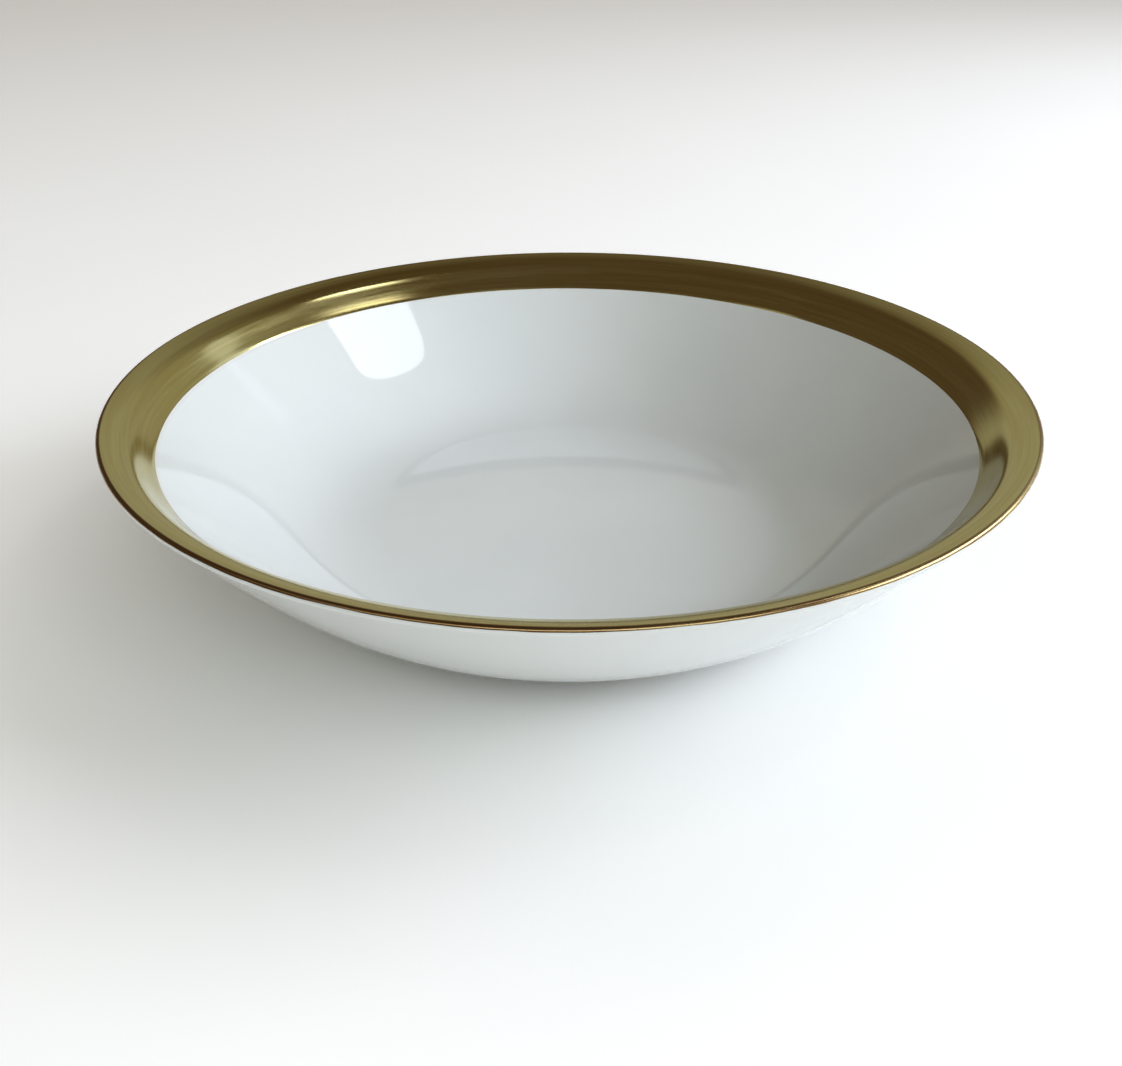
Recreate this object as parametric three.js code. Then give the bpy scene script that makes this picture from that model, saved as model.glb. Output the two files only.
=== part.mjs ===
// Porcelain serving bowl: a round coupe bowl with a wide gilded band inside its rim.
//
// Millimetres, +Z up. The origin is the centre of the plane that the foot ring stands on.
//
// Every piece is turned about +Z from one outline of the glazed bowl. The outline runs from
// the middle of the floor, out and up the well, over the lip, down the outer wall, and round
// the foot ring to the middle of the underside, so the porcelain is always on its right.
// The porcelain lies one glaze thickness inside the outline, and the gold film outside it.
// Layers that are fused on a real bowl keep a hair's gap, so that each one is a solid of its own.

import * as THREE from 'three';

// Overall size
const RIM_RADIUS = 125;
const HEIGHT = 53;

// Layers
const GLAZE_THICKNESS = 0.3;
const GOLD_THICKNESS = 0.1;
const BOND_GAP = 0.02;
const PORCELAIN_DEPTH = GLAZE_THICKNESS + BOND_GAP;
const GOLD_HEIGHT = BOND_GAP + GOLD_THICKNESS;

// Lip: a round edge, gilded over its top and down its outer shoulder. The gilding stops where
// the edge's normal has tilted this far outwards.
const LIP_RADIUS = 0.9;
const LIP_GILDED_TILT = THREE.MathUtils.degToRad(65);

// Gilded band: a rim that flares, and is nearly level at the lip
const BAND_INNER_RADIUS = 111.5;
const BAND_INNER_HEIGHT = 43.2;
const BAND_HANDLE_AT_WELL = 10;
const BAND_SLOPE_AT_LIP = THREE.MathUtils.degToRad(15);
const BAND_HANDLE_AT_LIP = 8;

// Well and floor
const WELL_SLOPE_AT_BAND = THREE.MathUtils.degToRad(47);
const WELL_HANDLE_AT_BAND = 38;
const WELL_HANDLE_AT_FLOOR = 22;
const FLOOR_RADIUS = 56;
const FLOOR_HEIGHT = 9.2;

// Outer wall
const WALL_SLOPE_AT_LIP = THREE.MathUtils.degToRad(49);
const WALL_HANDLE_AT_LIP = 33;
const WALL_HANDLE_AT_FOOT = 22;

// Foot ring
const FOOT_RADIUS = 62;
const FOOT_WIDTH = 4.4;
const FOOT_FILLET = 1.6;
const FOOT_CORNER = 1.0;
const FOOT_JOIN_HEIGHT = 2.8;
const WIPE_LINE_HEIGHT = 1.4;

// Facets
const TURN_SEGMENTS = 48;
const WELL_STEPS = 8;
const BAND_STEPS = 4;
const LIP_STEPS = 2;
const WALL_STEPS = 8;
const FILLET_STEPS = 2;
const CORNER_STEPS = 2;

const QUARTER_TURN = Math.PI / 2;

// ---------------------------------------------------------------- outline

// A station is a point of the outline with the normal that points out of the bowl there.
function station(point, tangent) {
  return { point, normal: new THREE.Vector2(-tangent.y, tangent.x).normalize() };
}

function stationsOnCurve(curve, steps) {
  const stations = [];
  for (let i = 0; i <= steps; i += 1) {
    stations.push(station(curve.getPoint(i / steps), curve.getTangent(i / steps)));
  }
  return stations;
}

function stationsOnLine(start, end) {
  const tangent = end.clone().sub(start);
  return [station(start, tangent), station(end, tangent)];
}

// An arc's normals lie along its radii: outwards on a round edge, inwards in a fillet.
function stationsOnArc(centre, radius, startAngle, endAngle, steps) {
  const outwards = endAngle < startAngle ? 1 : -1;
  const stations = [];
  for (let i = 0; i <= steps; i += 1) {
    const angle = THREE.MathUtils.lerp(startAngle, endAngle, i / steps);
    const radial = new THREE.Vector2(Math.cos(angle), Math.sin(angle));
    const point = centre.clone().addScaledVector(radial, radius);
    stations.push({ point, normal: radial.multiplyScalar(outwards) });
  }
  return stations;
}

// Stretches that follow each other share their end point, which is kept once.
function chain(...stretches) {
  return stretches.flatMap((stretch, i) => (i === 0 ? stretch : stretch.slice(1)));
}

function alongSlope(slope, distance) {
  return new THREE.Vector2(Math.cos(slope), Math.sin(slope)).multiplyScalar(distance);
}

function makeOutline() {
  const lipCentre = new THREE.Vector2(
    RIM_RADIUS - LIP_RADIUS,
    HEIGHT - GOLD_HEIGHT - LIP_RADIUS,
  );
  const gildedEnd = QUARTER_TURN - LIP_GILDED_TILT;
  const lipCrest = stationsOnArc(
    lipCentre, LIP_RADIUS, QUARTER_TURN + BAND_SLOPE_AT_LIP, QUARTER_TURN, 1);
  const lipShoulder = stationsOnArc(lipCentre, LIP_RADIUS, QUARTER_TURN, gildedEnd, LIP_STEPS);
  const lipUnderside = chain(
    stationsOnArc(lipCentre, LIP_RADIUS, gildedEnd, 0, 1),
    stationsOnArc(lipCentre, LIP_RADIUS, 0, WALL_SLOPE_AT_LIP - QUARTER_TURN, LIP_STEPS),
  );

  const floorCentre = new THREE.Vector2(0, FLOOR_HEIGHT);
  const floorEdge = new THREE.Vector2(FLOOR_RADIUS, FLOOR_HEIGHT);
  const bandInnerEdge = new THREE.Vector2(BAND_INNER_RADIUS, BAND_INNER_HEIGHT);
  const bandTop = lipCrest[0].point;

  const floor = stationsOnLine(floorCentre, floorEdge);
  const well = stationsOnCurve(new THREE.CubicBezierCurve(
    floorEdge,
    floorEdge.clone().add(alongSlope(0, WELL_HANDLE_AT_FLOOR)),
    bandInnerEdge.clone().sub(alongSlope(WELL_SLOPE_AT_BAND, WELL_HANDLE_AT_BAND)),
    bandInnerEdge,
  ), WELL_STEPS);
  const band = stationsOnCurve(new THREE.CubicBezierCurve(
    bandInnerEdge,
    bandInnerEdge.clone().add(alongSlope(WELL_SLOPE_AT_BAND, BAND_HANDLE_AT_WELL)),
    bandTop.clone().sub(alongSlope(BAND_SLOPE_AT_LIP, BAND_HANDLE_AT_LIP)),
    bandTop,
  ), BAND_STEPS);

  const wallTop = lipUnderside[lipUnderside.length - 1].point;
  const outerFilletCentre = new THREE.Vector2(FOOT_RADIUS + FOOT_FILLET, FOOT_JOIN_HEIGHT);
  const outerFillet = stationsOnArc(
    outerFilletCentre, FOOT_FILLET, QUARTER_TURN, 2 * QUARTER_TURN, FILLET_STEPS);
  const wallFoot = outerFillet[0].point;
  const wall = stationsOnCurve(new THREE.CubicBezierCurve(
    wallTop,
    wallTop.clone().sub(alongSlope(WALL_SLOPE_AT_LIP, WALL_HANDLE_AT_LIP)),
    wallFoot.clone().add(alongSlope(0, WALL_HANDLE_AT_FOOT)),
    wallFoot,
  ), WALL_STEPS);

  const footInnerRadius = FOOT_RADIUS - FOOT_WIDTH;
  const outerSide = stationsOnLine(
    new THREE.Vector2(FOOT_RADIUS, FOOT_JOIN_HEIGHT),
    new THREE.Vector2(FOOT_RADIUS, WIPE_LINE_HEIGHT),
  );
  const innerSide = stationsOnLine(
    new THREE.Vector2(footInnerRadius, WIPE_LINE_HEIGHT),
    new THREE.Vector2(footInnerRadius, FOOT_JOIN_HEIGHT),
  );
  const innerFilletCentre = new THREE.Vector2(footInnerRadius - FOOT_FILLET, FOOT_JOIN_HEIGHT);
  const innerFillet = stationsOnArc(
    innerFilletCentre, FOOT_FILLET, 0, QUARTER_TURN, FILLET_STEPS);
  const ceilingEdge = innerFillet[innerFillet.length - 1].point;
  const ceiling = stationsOnLine(ceilingEdge, new THREE.Vector2(0, ceilingEdge.y));

  return {
    inside: chain(floor, well),
    band,
    lipCrest,
    lipShoulder,
    lipUnderside,
    wall,
    outerFillet,
    outerSide,
    innerSide,
    innerFillet,
    ceiling,
  };
}

// ---------------------------------------------------------------- solids

// Points at a depth below the outline. A negative depth lies outside it.
function layer(stations, depth) {
  return stations.map(({ point, normal }) => point.clone().addScaledVector(normal, -depth));
}

// The closed section between two depths of the same stretch of the outline. Where the stretch
// reaches the axis, the section starts and ends there, because turning it closes it.
function coatSection(stations, outerDepth, innerDepth) {
  const section = [...layer(stations, outerDepth), ...layer(stations, innerDepth).reverse()];
  const axisStart = section.findIndex((point, i) => point.x === 0 && section.at(i - 1).x === 0);
  if (axisStart < 0) return [...section, section[0].clone()];
  return [...section.slice(axisStart), ...section.slice(0, axisStart)];
}

// Sections run with the material on their right, and turned geometry needs it on their left.
function turn(section) {
  return new THREE.LatheGeometry([...section].reverse(), TURN_SEGMENTS);
}

function porcelainBodySection(outline) {
  const upperSide = chain(outline.inside, outline.band, outline.lipCrest);
  const outerSide = chain(
    outline.lipShoulder, outline.lipUnderside, outline.wall, outline.outerFillet);
  const underside = chain(outline.innerFillet, outline.ceiling);
  return [
    ...layer(chain(upperSide, outerSide), PORCELAIN_DEPTH),
    ...layer(underside, PORCELAIN_DEPTH),
  ];
}

// Two upright sides, with bare corners that round down to the flat that the bowl stands on.
function footRingSection() {
  const outerRadius = FOOT_RADIUS - PORCELAIN_DEPTH;
  const innerRadius = FOOT_RADIUS - FOOT_WIDTH + PORCELAIN_DEPTH;
  const top = FOOT_JOIN_HEIGHT - BOND_GAP;
  const outerCorner = stationsOnArc(
    new THREE.Vector2(outerRadius - FOOT_CORNER, FOOT_CORNER),
    FOOT_CORNER, 0, -QUARTER_TURN, CORNER_STEPS);
  const innerCorner = stationsOnArc(
    new THREE.Vector2(innerRadius + FOOT_CORNER, FOOT_CORNER),
    FOOT_CORNER, -QUARTER_TURN, -2 * QUARTER_TURN, CORNER_STEPS);
  return [
    new THREE.Vector2(outerRadius, top),
    ...layer(outerCorner, 0),
    ...layer(innerCorner, 0),
    new THREE.Vector2(innerRadius, top),
    new THREE.Vector2(outerRadius, top),
  ];
}

function innerGlazeSection(outline) {
  const stretch = chain(outline.inside, outline.band, outline.lipCrest);
  return coatSection(stretch, 0, GLAZE_THICKNESS);
}

function outerGlazeSection(outline) {
  const stretch = chain(
    outline.lipShoulder, outline.lipUnderside, outline.wall,
    outline.outerFillet, outline.outerSide);
  return coatSection(stretch, 0, GLAZE_THICKNESS);
}

function footRecessGlazeSection(outline) {
  const stretch = chain(outline.innerSide, outline.innerFillet, outline.ceiling);
  return coatSection(stretch, 0, GLAZE_THICKNESS);
}

function goldBandSection(outline) {
  return coatSection(outline.band, -GOLD_HEIGHT, -BOND_GAP);
}

function goldLipLineSection(outline) {
  const stretch = chain(outline.lipCrest, outline.lipShoulder);
  return coatSection(stretch, -GOLD_HEIGHT, -BOND_GAP);
}

// ---------------------------------------------------------------- materials

const BARE_PORCELAIN = { color: 0xe9e4da, roughness: 0.75, metalness: 0 };
const WHITE_GLAZE = { color: 0xe4e9e8, roughness: 0.08, metalness: 0 };
const BAND_GOLD = { color: 0x8f8449, roughness: 0.2, metalness: 1 };
const LIP_GOLD = { color: 0x7d6c36, roughness: 0.25, metalness: 1 };

// ---------------------------------------------------------------- scene graph

const outline = makeOutline();

const pieces = [
  ['porcelain_body', porcelainBodySection(outline), BARE_PORCELAIN],
  ['foot_ring', footRingSection(), BARE_PORCELAIN],
  ['inner_glaze', innerGlazeSection(outline), WHITE_GLAZE],
  ['outer_glaze', outerGlazeSection(outline), WHITE_GLAZE],
  ['foot_recess_glaze', footRecessGlazeSection(outline), WHITE_GLAZE],
  ['gold_band', goldBandSection(outline), BAND_GOLD],
  ['gold_lip_line', goldLipLineSection(outline), LIP_GOLD],
];

const bowl = new THREE.Group();
bowl.name = 'serving_bowl';
bowl.rotation.x = QUARTER_TURN; // turned geometry has its axis on +Y, and the bowl's is +Z

for (const [name, section, finish] of pieces) {
  const mesh = new THREE.Mesh(turn(section), new THREE.MeshStandardMaterial(finish));
  mesh.name = name;
  bowl.add(mesh);
}

export default bowl;
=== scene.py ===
import math

import bmesh
import bpy
import numpy as np
from mathutils import Matrix, Vector


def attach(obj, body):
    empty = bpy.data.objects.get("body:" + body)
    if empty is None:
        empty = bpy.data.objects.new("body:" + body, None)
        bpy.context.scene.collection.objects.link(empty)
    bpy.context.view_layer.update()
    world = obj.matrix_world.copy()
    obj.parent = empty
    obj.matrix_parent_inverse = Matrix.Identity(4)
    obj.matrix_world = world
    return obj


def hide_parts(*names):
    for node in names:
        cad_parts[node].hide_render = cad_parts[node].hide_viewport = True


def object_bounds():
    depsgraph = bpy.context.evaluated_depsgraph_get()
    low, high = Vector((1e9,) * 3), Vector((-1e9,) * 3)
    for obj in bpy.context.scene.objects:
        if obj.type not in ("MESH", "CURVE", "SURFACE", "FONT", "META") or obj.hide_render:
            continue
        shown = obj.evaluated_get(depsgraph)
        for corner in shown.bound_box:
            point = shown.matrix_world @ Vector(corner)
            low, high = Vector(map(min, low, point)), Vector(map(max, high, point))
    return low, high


# Porcelain serving bowl with a gilded band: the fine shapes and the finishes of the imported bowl.
#
# Metres, +Z up, with the origin at the centre of the foot ring's standing plane. The bowl's angles are
# in radians, and the directions of the lights and of the room's pale side are given in degrees.
#
# Every piece is turned about +Z from one outline of the glazed bowl, which runs from the middle of
# the floor, up the well, over the lip, down the outer wall, and round the foot ring to the middle of
# the underside. A station of the outline is (radius, height, normal's radius, normal's height).

MM = 0.001

RIM_RADIUS = 125 * MM

# Layers
GLAZE_THICKNESS = 0.3 * MM
BOND_GAP = 0.02 * MM
PORCELAIN_DEPTH = GLAZE_THICKNESS + BOND_GAP
GOLD_HEIGHT = 0.12 * MM

# Lip: a round edge, gilded until its normal has tilted this far outwards
LIP_RADIUS = 0.9 * MM
LIP_GILDED_TILT = math.radians(65)

# Gilded band: a rim that flares, and is nearly level at the lip
BAND_INNER_RADIUS = 111.5 * MM
BAND_INNER_HEIGHT = 43.2 * MM
BAND_HANDLE_AT_WELL = 10 * MM
BAND_SLOPE_AT_LIP = math.radians(15)
BAND_HANDLE_AT_LIP = 8 * MM

# Well and floor
WELL_SLOPE_AT_BAND = math.radians(47)
WELL_HANDLE_AT_BAND = 38 * MM
WELL_HANDLE_AT_FLOOR = 22 * MM
FLOOR_RADIUS = 56 * MM
FLOOR_HEIGHT = 9.2 * MM

# Outer wall
WALL_SLOPE_AT_LIP = math.radians(49)
WALL_HANDLE_AT_LIP = 33 * MM
WALL_HANDLE_AT_FOOT = 22 * MM

# Foot ring
FOOT_RADIUS = 62 * MM
FOOT_WIDTH = 4.4 * MM
FOOT_FILLET = 1.6 * MM
FOOT_CORNER = 1.0 * MM
FOOT_JOIN_HEIGHT = 2.8 * MM
WIPE_LINE_HEIGHT = 1.4 * MM

# Hand work: how far the band lies off centre, and how the brushed edges of the gold wander. An edge
# wanders this far in all, as a sum of waves of which these whole numbers fit round the bowl.
BAND_OFF_CENTRE = 0.6 * MM
BAND_EDGE_WANDER = 0.15 * MM
BAND_EDGE_WAVES = (2, 3, 5, 9, 17, 31)
BAND_EDGE_SEED = 11
LIP_EDGE_WANDER = 0.35 * MM
LIP_EDGE_WAVES = (3, 7, 13, 24, 45, 70, 96)
LIP_EDGE_SEED = 23

# Fineness
TURN_SEGMENTS = 384
FLOOR_STEPS = 6
WELL_STEPS = 64
BAND_STEPS = 16
BAND_THINNING_STEPS = 2
LIP_STEPS = 8
WALL_STEPS = 64
FILLET_STEPS = 8
CORNER_STEPS = 6
SHARP_ANGLE = math.radians(40)

QUARTER_TURN = math.pi / 2
TURN_ANGLES = np.linspace(0, 2 * math.pi, TURN_SEGMENTS, endpoint=False)


# ---------------------------------------------------------------- frame

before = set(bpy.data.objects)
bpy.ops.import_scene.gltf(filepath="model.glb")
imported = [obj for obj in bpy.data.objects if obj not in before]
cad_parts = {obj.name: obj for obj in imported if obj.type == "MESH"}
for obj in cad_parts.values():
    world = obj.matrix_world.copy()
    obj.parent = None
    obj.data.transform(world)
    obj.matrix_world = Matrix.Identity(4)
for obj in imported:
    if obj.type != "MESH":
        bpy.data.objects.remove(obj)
CAD_BOX = [list(corner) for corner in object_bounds()]
HEIGHT = CAD_BOX[1][2]


# ---------------------------------------------------------------- outline

def along(slope, distance):
    return np.array([math.cos(slope), math.sin(slope)]) * distance


def with_normals(points, tangents):
    normals = np.stack([-tangents[:, 1], tangents[:, 0]], axis=1)
    normals /= np.linalg.norm(normals, axis=1, keepdims=True)
    return np.hstack([points, normals])


def bezier(start, start_handle, end_handle, end, steps):
    t = np.linspace(0, 1, steps + 1)[:, None]
    points = ((1 - t) ** 3 * start + 3 * (1 - t) ** 2 * t * start_handle
              + 3 * (1 - t) * t ** 2 * end_handle + t ** 3 * end)
    tangents = ((1 - t) ** 2 * (start_handle - start) + 2 * (1 - t) * t * (end_handle - start_handle)
                + t ** 2 * (end - end_handle))
    return with_normals(points, tangents)


def line(start, end, steps=1):
    t = np.linspace(0, 1, steps + 1)[:, None]
    points = start + t * (end - start)
    return with_normals(points, np.repeat([end - start], steps + 1, axis=0))


def arc(centre, radius, start_angle, end_angle, steps):
    """Its normals lie along its radii: outwards on a round edge, inwards in a fillet."""
    outwards = 1 if end_angle < start_angle else -1
    angles = np.linspace(start_angle, end_angle, steps + 1)
    radial = np.stack([np.cos(angles), np.sin(angles)], axis=1)
    return np.hstack([centre + radial * radius, radial * outwards])


def chain(*stretches):
    """Stretches that follow each other share their end station, which is kept once."""
    return np.vstack([stretches[0]] + [stretch[1:] for stretch in stretches[1:]])


def make_outline():
    lip_centre = np.array([RIM_RADIUS - LIP_RADIUS, HEIGHT - GOLD_HEIGHT - LIP_RADIUS])
    gilded_end = QUARTER_TURN - LIP_GILDED_TILT
    lip_crest = arc(lip_centre, LIP_RADIUS, QUARTER_TURN + BAND_SLOPE_AT_LIP, QUARTER_TURN, LIP_STEPS)
    lip_shoulder = arc(lip_centre, LIP_RADIUS, QUARTER_TURN, gilded_end, 2 * LIP_STEPS)
    lip_underside = chain(
        arc(lip_centre, LIP_RADIUS, gilded_end, 0, LIP_STEPS),
        arc(lip_centre, LIP_RADIUS, 0, WALL_SLOPE_AT_LIP - QUARTER_TURN, LIP_STEPS),
    )

    floor_edge = np.array([FLOOR_RADIUS, FLOOR_HEIGHT])
    band_edge = np.array([BAND_INNER_RADIUS, BAND_INNER_HEIGHT])
    band_top = lip_crest[0, :2]
    floor = line(np.array([0, FLOOR_HEIGHT]), floor_edge, FLOOR_STEPS)
    well = bezier(floor_edge, floor_edge + along(0, WELL_HANDLE_AT_FLOOR),
                  band_edge - along(WELL_SLOPE_AT_BAND, WELL_HANDLE_AT_BAND), band_edge, WELL_STEPS)
    band = bezier(band_edge, band_edge + along(WELL_SLOPE_AT_BAND, BAND_HANDLE_AT_WELL),
                  band_top - along(BAND_SLOPE_AT_LIP, BAND_HANDLE_AT_LIP), band_top, BAND_STEPS)

    wall_top = lip_underside[-1, :2]
    fillet_centre = np.array([FOOT_RADIUS + FOOT_FILLET, FOOT_JOIN_HEIGHT])
    outer_fillet = arc(fillet_centre, FOOT_FILLET, QUARTER_TURN, 2 * QUARTER_TURN, FILLET_STEPS)
    wall_foot = outer_fillet[0, :2]
    wall = bezier(wall_top, wall_top - along(WALL_SLOPE_AT_LIP, WALL_HANDLE_AT_LIP),
                  wall_foot + along(0, WALL_HANDLE_AT_FOOT), wall_foot, WALL_STEPS)

    foot_inner_radius = FOOT_RADIUS - FOOT_WIDTH
    inner_centre = np.array([foot_inner_radius - FOOT_FILLET, FOOT_JOIN_HEIGHT])
    inner_fillet = arc(inner_centre, FOOT_FILLET, 0, QUARTER_TURN, FILLET_STEPS)
    ceiling_edge = inner_fillet[-1, :2]
    return {
        "inside": chain(floor, well),
        "band": band,
        "lip_crest": lip_crest,
        "lip_shoulder": lip_shoulder,
        "lip_underside": lip_underside,
        "wall": wall,
        "outer_fillet": outer_fillet,
        "outer_side": line(np.array([FOOT_RADIUS, FOOT_JOIN_HEIGHT]),
                           np.array([FOOT_RADIUS, WIPE_LINE_HEIGHT]), 2),
        "inner_side": line(np.array([foot_inner_radius, WIPE_LINE_HEIGHT]),
                           np.array([foot_inner_radius, FOOT_JOIN_HEIGHT]), 2),
        "inner_fillet": inner_fillet,
        "ceiling": line(ceiling_edge, np.array([0, ceiling_edge[1]]), FLOOR_STEPS),
    }


OUTLINE = make_outline()


def stretches(*names):
    """Named stretches of the outline that follow each other, as one."""
    return chain(*[OUTLINE[name] for name in names])


# ---------------------------------------------------------------- turned pieces

def layer(stations, depth):
    """Points at a depth below the outline, which is negative outside it."""
    return stations[:, :2] - stations[:, 2:] * depth


def turn(name, section):
    """A closed solid of revolution. The section is (points, 2), or (points, segments, 2) where its
    shape changes round the bowl, and its ends lie on the axis if it reaches the axis."""
    if section.ndim == 2:
        section = np.repeat(section[:, None, :], TURN_SEGMENTS, axis=1)
    rows = section.shape[0]
    radius, height = section[..., 0], section[..., 1]
    vertices = np.stack([radius * np.cos(TURN_ANGLES), radius * np.sin(TURN_ANGLES), height], axis=-1)
    meets_axis = radius[0, 0] == 0 and radius[-1, 0] == 0
    row = np.arange(rows - 1 if meets_axis else rows)[:, None]
    column = np.arange(TURN_SEGMENTS)[None, :]
    next_row = (row + 1) % rows
    next_column = (column + 1) % TURN_SEGMENTS
    faces = np.stack([
        row * TURN_SEGMENTS + column,
        row * TURN_SEGMENTS + next_column,
        next_row * TURN_SEGMENTS + next_column,
        next_row * TURN_SEGMENTS + column,
    ], axis=-1).reshape(-1, 4)

    mesh = bpy.data.meshes.new(name)
    mesh.from_pydata(vertices.reshape(-1, 3).tolist(), [], faces.tolist())
    shape = bmesh.new()
    shape.from_mesh(mesh)
    bmesh.ops.remove_doubles(shape, verts=shape.verts, dist=1e-7)
    bmesh.ops.recalc_face_normals(shape, faces=shape.faces)
    shape.to_mesh(mesh)
    shape.free()
    mesh.shade_smooth()
    mesh.set_sharp_from_angle(angle=SHARP_ANGLE)
    piece = bpy.data.objects.new(name, mesh)
    bpy.context.scene.collection.objects.link(piece)
    return piece


def coat(stations):
    """The closed section of the glaze under one stretch of the outline."""
    section = np.vstack([layer(stations, 0), layer(stations, GLAZE_THICKNESS)[::-1]])
    if stations[-1, 0] == 0:
        half = len(stations)
        section = np.vstack([section[half:], section[:half]])
    return section


def wander(seed, waves):
    """A smooth closed wobble round the bowl, from 0 to 1: a sum of a few whole waves per turn."""
    rng = np.random.default_rng(seed)
    total = np.zeros(TURN_SEGMENTS)
    for count in waves:
        phase = rng.uniform(0, 2 * math.pi)
        total += np.sin(count * TURN_ANGLES + phase) * rng.uniform(0.5, 1) / count ** 0.4
    return (total - total.min()) / (total.max() - total.min())


def lengths_along(stations):
    steps = np.linalg.norm(np.diff(stations[:, :2], axis=0), axis=1)
    return np.concatenate([[0], np.cumsum(steps)])


def stretch_between(stations, start, end, steps):
    """Stations from one length along the outline to another. Either may change round the bowl."""
    lengths = lengths_along(stations)
    places = start + np.linspace(0, 1, steps + 1)[:, None] * (end - start)
    columns = [np.interp(places, lengths, stations[:, i]) for i in range(4)]
    return np.stack(columns, axis=-1)


def film(stations, thinning):
    """The closed section of a gold film. It thins to nothing where the thinning, which is given at
    each station, reaches 1."""
    height = BOND_GAP + (GOLD_HEIGHT - BOND_GAP) * (1 - thinning[:, None, None])
    raised = stations[..., :2] + stations[..., 2:] * height
    bonded = stations[..., :2] + stations[..., 2:] * BOND_GAP
    return np.concatenate([raised[thinning < 1], bonded[::-1]], axis=0)


def turned_pieces():
    """Every piece, by the name of the CAD node that it stands for."""
    upper = stretches("inside", "band", "lip_crest")
    outer = stretches("lip_shoulder", "lip_underside", "wall", "outer_fillet")
    underside = stretches("inner_fillet", "ceiling")

    body = turn("bowl_body", np.vstack([
        layer(chain(upper, outer), PORCELAIN_DEPTH),
        layer(underside, PORCELAIN_DEPTH),
    ]))
    inner_glaze = turn("inside_glaze", coat(upper))
    outer_glaze = turn("outside_glaze", coat(chain(outer, OUTLINE["outer_side"])))
    recess_glaze = turn("recess_glaze", coat(chain(OUTLINE["inner_side"], underside)))

    return {
        "porcelain_body": body,
        "foot_ring": turn("standing_ring", foot_section()),
        "inner_glaze": inner_glaze,
        "outer_glaze": outer_glaze,
        "foot_recess_glaze": recess_glaze,
        "gold_band": turn("gilded_band", gold_band_section()),
        "gold_lip_line": turn("gilded_lip", gold_lip_section()),
    }


def gold_band_section():
    stations = stretches("inside", "band")
    nominal = lengths_along(OUTLINE["inside"])[-1]
    end = lengths_along(stations)[-1]
    off_centre = -BAND_OFF_CENTRE * np.cos(TURN_ANGLES)
    edge = wander(BAND_EDGE_SEED, BAND_EDGE_WAVES) * BAND_EDGE_WANDER
    band = stretch_between(stations, nominal + off_centre + edge, end, 2 * BAND_STEPS)
    thinning = np.clip(1 - np.arange(2 * BAND_STEPS + 1) / BAND_THINNING_STEPS, 0, 1)
    return film(band, thinning ** 2)


def gold_lip_section():
    stations = stretches("lip_crest", "lip_shoulder", "lip_underside")
    nominal = lengths_along(stretches("lip_crest", "lip_shoulder"))[-1]
    edge = (wander(LIP_EDGE_SEED, LIP_EDGE_WAVES) - 0.5) * LIP_EDGE_WANDER
    lip = stretch_between(stations, 0, nominal + edge, 3 * LIP_STEPS)
    return film(lip, np.linspace(0, 1, 3 * LIP_STEPS + 1) ** 2)


def foot_section():
    outer_radius = FOOT_RADIUS - PORCELAIN_DEPTH
    inner_radius = FOOT_RADIUS - FOOT_WIDTH + PORCELAIN_DEPTH
    top = FOOT_JOIN_HEIGHT - BOND_GAP
    outer_corner = arc(np.array([outer_radius - FOOT_CORNER, FOOT_CORNER]), FOOT_CORNER,
                       0, -QUARTER_TURN, CORNER_STEPS)
    inner_corner = arc(np.array([inner_radius + FOOT_CORNER, FOOT_CORNER]), FOOT_CORNER,
                       -QUARTER_TURN, -2 * QUARTER_TURN, CORNER_STEPS)
    return np.vstack([
        [[outer_radius, top]],
        outer_corner[:, :2],
        inner_corner[:, :2],
        [[inner_radius, top]],
    ])


# ---------------------------------------------------------------- node helpers

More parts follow.
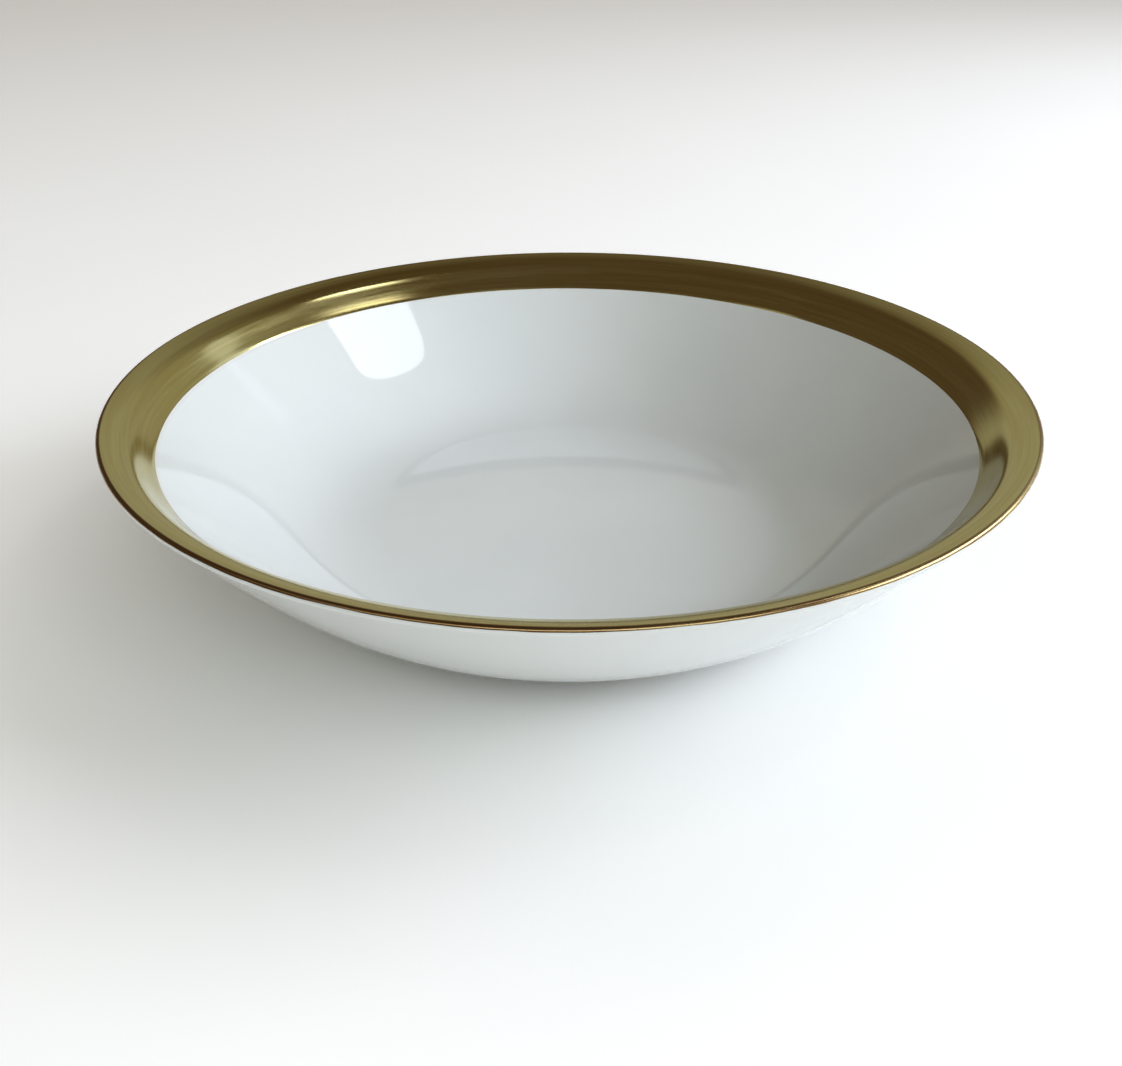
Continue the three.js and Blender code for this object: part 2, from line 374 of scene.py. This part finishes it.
class NodeTree:
    """A node tree written as nested calls: an input is a value or another node's output."""

    def __init__(self, owner):
        owner.use_nodes = True
        self.owner = owner
        self.tree = owner.node_tree
        self.tree.nodes.clear()

    def node(self, kind, inputs=None, output=0, **settings):
        node = self.tree.nodes.new(kind)
        for key, value in settings.items():
            setattr(node, key, value)
        for key, value in (inputs or {}).items():
            if isinstance(value, bpy.types.NodeSocket):
                self.tree.links.new(value, node.inputs[key])
            else:
                node.inputs[key].default_value = value
        return node.outputs[output]

    def maths(self, operation, a, b=0.0, clamp=False):
        return self.node("ShaderNodeMath", {0: a, 1: b}, operation=operation, use_clamp=clamp)

    def remap(self, value, low, high, to_low=0.0, to_high=1.0):
        return self.node("ShaderNodeMapRange", {
            "Value": value, "From Min": low, "From Max": high, "To Min": to_low, "To Max": to_high,
        }, interpolation_type="SMOOTHSTEP")

    def mix(self, factor, a, b):
        return self.node("ShaderNodeMix", {"Factor": factor, "A": a, "B": b}, data_type="RGBA", output=2)

    def noise(self, vector, scale, detail=2.0, roughness=0.5):
        return self.node("ShaderNodeTexNoise", {
            "Vector": vector, "Scale": scale, "Detail": detail, "Roughness": roughness,
        })

    def place(self):
        return self.node("ShaderNodeTexCoord", output=3)

    def radius(self, place):
        flat = self.node("ShaderNodeVectorMath", {0: place, 1: (1, 1, 0)}, operation="MULTIPLY")
        return self.node("ShaderNodeVectorMath", {0: flat}, operation="LENGTH", output=1)

    def wheel(self, place, round_scale, across_scale):
        """A point whose noise is drawn out round the bowl, as marks made on a turning wheel are."""
        flat = self.node("ShaderNodeVectorMath", {0: place, 1: (1, 1, 0)}, operation="MULTIPLY")
        direction = self.node("ShaderNodeVectorMath", {0: flat}, operation="NORMALIZE")
        turned = self.node("ShaderNodeVectorMath", {0: direction, "Scale": round_scale}, operation="SCALE")
        height = self.node("ShaderNodeSeparateXYZ", {0: place}, output=2)
        across = self.maths("ADD", self.radius(place), height)
        shift = self.node("ShaderNodeCombineXYZ", {2: self.maths("MULTIPLY", across, across_scale)})
        return self.node("ShaderNodeVectorMath", {0: turned, 1: shift}, operation="ADD")

    def bump(self, height, distance, strength=1.0):
        return self.node("ShaderNodeBump", {"Height": height, "Distance": distance, "Strength": strength})

    def end(self, kind, surface):
        output = self.tree.nodes.new(kind)
        self.tree.links.new(surface, output.inputs["Surface"])
        return self.owner

    def finish(self, **inputs):
        return self.end("ShaderNodeOutputMaterial", self.node("ShaderNodeBsdfPrincipled", inputs))


def new_material(name):
    return NodeTree(bpy.data.materials.new(name))


# ---------------------------------------------------------------- materials

GLAZE_WHITE = (0.80, 0.83, 0.825, 1)
# The outside glaze is the inside's white made darker: painted shade on the outer wall and under the foot.
GLAZE_OUTSIDE_PAINTED_SHADE = (0.73, 0.755, 0.745, 1)
GLAZE_SHADE = (0.74, 0.775, 0.77, 1)
GOLD_FRINGE = (0.66, 0.50, 0.44, 1)
BAND_GOLD = (0.60, 0.53, 0.25, 1)
BAND_GOLD_DEEP = (0.50, 0.41, 0.16, 1)
# The lip's gold is darker and browner than the band's: partly rubbed, worn gold, and partly painted shade
# for the dark that the lip's round edge reflects.
LIP_GOLD_WITH_PAINTED_SHADE = (0.40, 0.31, 0.14, 1)
WORN_GOLD_WITH_PAINTED_SHADE = (0.28, 0.17, 0.08, 1)
BISQUE = (0.74, 0.71, 0.64, 1)
BISQUE_RUBBED = (0.52, 0.50, 0.46, 1)
IRON_SPECK = (0.30, 0.27, 0.22, 1)
FLOOR_PALE = (0.90, 0.90, 0.89, 1)
FLOOR_PALE_SHADE = (0.88, 0.88, 0.87, 1)
WHITE = (1, 1, 1, 1)

GLAZE_FRINGE_WIDTH = 0.5 * MM


def glaze_material(name, white, fringe_radius=None):
    tree = new_material(name)
    place = tree.place()
    cloud = tree.remap(tree.noise(place, 22, 3), 0.35, 0.65)
    colour = tree.mix(tree.maths("MULTIPLY", cloud, 0.4), white, GLAZE_SHADE)
    cells = tree.node("ShaderNodeTexVoronoi", {"Vector": place, "Scale": 34.0}, feature="F1")
    speck = tree.remap(cells, 0.006, 0.010, 1, 0)
    colour = tree.mix(tree.maths("MULTIPLY", speck, 0.7), colour, IRON_SPECK)
    if fringe_radius:
        fringe_start = fringe_radius - GLAZE_FRINGE_WIDTH
        near_gold = tree.remap(tree.radius(place), fringe_start, fringe_radius, 0, 0.15)
        colour = tree.mix(near_gold, colour, GOLD_FRINGE)
    smudge = tree.remap(tree.noise(place, 45, 4, 0.6), 0.4, 0.75, 0.035, 0.075)
    turning = tree.noise(tree.wheel(place, 1.5, 160), 1.0, 2)
    peel = tree.noise(place, 160, 2)
    relief = tree.maths("ADD", tree.maths("MULTIPLY", turning, 0.6), tree.maths("MULTIPLY", peel, 0.5))
    return tree.finish(**{
        "Base Color": colour,
        "Roughness": smudge,
        "IOR": 1.5,
        "Normal": tree.bump(relief, 0.012 * MM),
    })


def gold_material(name, bright, deep, worn_share, smoothest, roughest):
    tree = new_material(name)
    place = tree.place()
    strokes = tree.noise(tree.wheel(place, 3.0, 900), 1.0, 3, 0.6)
    broad = tree.noise(tree.wheel(place, 1.2, 140), 1.0, 2)
    both = tree.maths("ADD", tree.maths("MULTIPLY", strokes, 0.5), tree.maths("MULTIPLY", broad, 0.5))
    blend = tree.remap(both, 0.35, 0.65)
    colour = tree.mix(blend, deep, bright)
    rub = tree.remap(tree.noise(tree.wheel(place, 14.0, 700), 1.0, 4, 0.7), 0.62, 0.72, 0, worn_share)
    colour = tree.mix(rub, colour, WORN_GOLD_WITH_PAINTED_SHADE)
    roughness = tree.remap(strokes, 0.3, 0.7, smoothest, roughest)
    relief = tree.maths("ADD", strokes, tree.maths("MULTIPLY", tree.noise(place, 220, 2), 0.8))
    return tree.finish(**{
        "Base Color": colour,
        "Metallic": 1.0,
        "Roughness": roughness,
        "Normal": tree.bump(relief, 0.0015 * MM),
    })


def bisque_material(name):
    tree = new_material(name)
    place = tree.place()
    height = tree.node("ShaderNodeSeparateXYZ", {0: place}, output=2)
    grain = tree.noise(place, 2600, 3, 0.7)
    blotch = tree.noise(place, 60, 4, 0.6)
    near_ground = tree.remap(height, 0.5 * MM, 0.02 * MM)
    rubbed = tree.maths("MULTIPLY", near_ground, tree.remap(blotch, 0.35, 0.6))
    colour = tree.mix(tree.maths("MULTIPLY", rubbed, 0.7), BISQUE, BISQUE_RUBBED)
    colour = tree.mix(tree.remap(grain, 0.55, 0.8, 0, 0.25), colour, BISQUE_RUBBED)
    return tree.finish(**{
        "Base Color": colour,
        "Roughness": tree.remap(grain, 0.3, 0.7, 0.6, 0.85),
        "Normal": tree.bump(grain, 0.05 * MM),
    })


# The floor glows a little, like a light table, and glows more beyond the bowl: its glow rises from
# the least to the most between these two radii.
FLOOR_GLOW_NEAR = 90 * MM
FLOOR_GLOW_FAR = 200 * MM
FLOOR_GLOW_LEAST = 0.03
FLOOR_GLOW_MOST = 0.34


def floor_material(name):
    tree = new_material(name)
    place = tree.place()
    tone = tree.remap(tree.noise(place, 6, 3), 0.3, 0.7)
    glow = tree.remap(tree.radius(place), FLOOR_GLOW_NEAR, FLOOR_GLOW_FAR,
                      FLOOR_GLOW_LEAST, FLOOR_GLOW_MOST)
    colour = tree.mix(tone, FLOOR_PALE, FLOOR_PALE_SHADE)
    return tree.finish(**{
        "Base Color": colour,
        "Roughness": 0.8,
        "Emission Color": WHITE,
        "Emission Strength": glow,
    })


MATERIALS = {
    "porcelain_body": bisque_material("unglazed_porcelain"),
    "foot_ring": bisque_material("bare_foot"),
    "inner_glaze": glaze_material("glaze_inside", GLAZE_WHITE, BAND_INNER_RADIUS),
    # The outer wall and the foot's recess take the darker glaze, which paints shade on them.
    "outer_glaze": glaze_material("glaze_outside_painted_shade", GLAZE_OUTSIDE_PAINTED_SHADE),
    "foot_recess_glaze": glaze_material("glaze_underneath_painted_shade", GLAZE_OUTSIDE_PAINTED_SHADE),
    "gold_band": gold_material("band_gilding", BAND_GOLD, BAND_GOLD_DEEP, 0.1, 0.12, 0.17),
    # The lip's gilding takes the darker golds: worn gold and painted shade.
    "gold_lip_line": gold_material("lip_gilding", LIP_GOLD_WITH_PAINTED_SHADE, WORN_GOLD_WITH_PAINTED_SHADE, 0.6, 0.20, 0.30),
}


def build_bowl():
    for node, piece in turned_pieces().items():
        piece.data.materials.append(MATERIALS[node])
        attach(piece, "root")
        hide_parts(node)


# ---------------------------------------------------------------- floor, lights, camera

FLOOR_HALF = 4.0
FLOOR_DROP = 0.02 * MM


def build_floor():
    shape = bmesh.new()
    corners = [(-1, -1), (1, -1), (1, 1), (-1, 1)]
    shape.faces.new([shape.verts.new((x * FLOOR_HALF, y * FLOOR_HALF, -FLOOR_DROP)) for x, y in corners])
    mesh = bpy.data.meshes.new("studio_floor")
    shape.to_mesh(mesh)
    shape.free()
    mesh.materials.append(floor_material("studio_floor"))
    floor = bpy.data.objects.new("studio_floor", mesh)
    bpy.context.scene.collection.objects.link(floor)


def direction(azimuth, elevation):
    """Azimuth is measured from +X towards +Y, which points away from the camera. Degrees."""
    azimuth = math.radians(azimuth)
    elevation = math.radians(elevation)
    level = math.cos(elevation)
    return Vector((level * math.cos(azimuth), level * math.sin(azimuth), math.sin(elevation)))


SOFTBOX_DISTANCE = 1.6
SOFTBOX_AIM = Vector((0, 0, 0.04))

# name: shape, azimuth, elevation, turn, half width and half height in degrees, radiance by colour
SOFTBOXES = {
    "side_window": ("RECTANGLE", 2, 27, 0, 22, 9.5, (8.5, 9.0, 10.2)),
    "side_window_end": ("RECTANGLE", 38, 28, 0, 9, 6, (0.5, 0.6, 0.8)),
    "high_window": ("ELLIPSE", 5.4, 56, -33, 9.4, 2.6, (5.0, 5.3, 5.6)),
    "front_right": ("RECTANGLE", -60, 40, 0, 15, 8, (3.0, 3.3, 3.5)),
    "front_middle": ("RECTANGLE", -92, 40, 0, 15, 8, (2.4, 2.65, 2.8)),
    "front_left": ("RECTANGLE", -125, 40, 0, 15, 8, (1.3, 1.4, 1.2)),
    "left": ("RECTANGLE", -160, 40, 0, 15, 8, (0.4, 0.4, 0.35)),
}

# The share of its width times its height that each shape of light covers
SHAPE_FILL = {"RECTANGLE": 1, "ELLIPSE": math.pi / 4}


def softbox(name, shape, azimuth, elevation, turned, half_width, half_height, radiance):
    """A flat light at the softboxes' distance from the bowl, which faces it."""
    light = bpy.data.lights.new(name, "AREA")
    light.shape = shape
    light.size = 2 * SOFTBOX_DISTANCE * math.tan(math.radians(half_width))
    light.size_y = 2 * SOFTBOX_DISTANCE * math.tan(math.radians(half_height))
    light.color = [channel / max(radiance) for channel in radiance]
    light.energy = max(radiance) * math.pi * SHAPE_FILL[shape] * light.size * light.size_y
    lamp = bpy.data.objects.new(name, light)
    towards = direction(azimuth, elevation)
    facing = towards.to_track_quat("Z", "Y").to_matrix().to_4x4()
    lamp.matrix_world = (Matrix.Translation(SOFTBOX_AIM + towards * SOFTBOX_DISTANCE) @ facing
                         @ Matrix.Rotation(math.radians(turned), 4, "Z"))
    bpy.context.scene.collection.objects.link(lamp)


def build_softboxes():
    for name, settings in SOFTBOXES.items():
        softbox(name, *settings)


# The room's pale walls. Each pair is where they start and where they are fully pale, the first as the
# sine of the elevation, and the second as the cosine of the angle from the middle of the pale side.
ROOM_DARK = (0.11, 0.08, 0.05, 1)
ROOM_PALE = (0.43, 0.42, 0.32, 1)
PALE_SIDE = direction(17, 0)
PALE_HEIGHTS = (0.85, 0.35)
PALE_EDGE = (-0.12, 0.12)
BACKDROP = (0.86, 0.86, 0.84, 1)


def build_world():
    """A dark room whose walls are pale on the side window's side, and fade upwards. It lights the bowl
    and shows in its gloss, while the camera sees a plain pale backdrop past the floor's end."""
    world = NodeTree(bpy.data.worlds.new("room"))
    outwards = world.node("ShaderNodeTexCoord")
    height = world.node("ShaderNodeSeparateXYZ", {0: outwards}, output=2)
    side = world.node("ShaderNodeVectorMath", {0: outwards, 1: PALE_SIDE}, output=1,
                      operation="DOT_PRODUCT")
    pale = world.maths("MULTIPLY", world.remap(height, *PALE_HEIGHTS), world.remap(side, *PALE_EDGE))
    room = world.mix(pale, ROOM_DARK, ROOM_PALE)
    seen = world.node("ShaderNodeLightPath")
    light = world.node("ShaderNodeBackground", {"Color": world.mix(seen, room, BACKDROP)})
    bpy.context.scene.world = world.end("ShaderNodeOutputWorld", light)


# The camera stands in front of the bowl and looks down at it.
CAMERA_PLACE = (-0.00221, -0.30516, 0.17516)
CAMERA_PITCH = math.radians(29.39)
CAMERA_ROLL = math.radians(-0.19)
CAMERA_LENS = 37.47


def build_camera():
    data = bpy.data.cameras.new("camera")
    data.lens = CAMERA_LENS
    data.sensor_width = 36
    data.clip_start = 0.01
    camera = bpy.data.objects.new("camera", data)
    look = Matrix.Rotation(QUARTER_TURN - CAMERA_PITCH, 4, "X") @ Matrix.Rotation(CAMERA_ROLL, 4, "Z")
    camera.matrix_world = Matrix.Translation(CAMERA_PLACE) @ look
    bpy.context.scene.collection.objects.link(camera)
    bpy.context.scene.camera = camera


build_camera()
build_bowl()
build_floor()
build_world()
build_softboxes()
bpy.context.scene.view_settings.view_transform = "Standard"
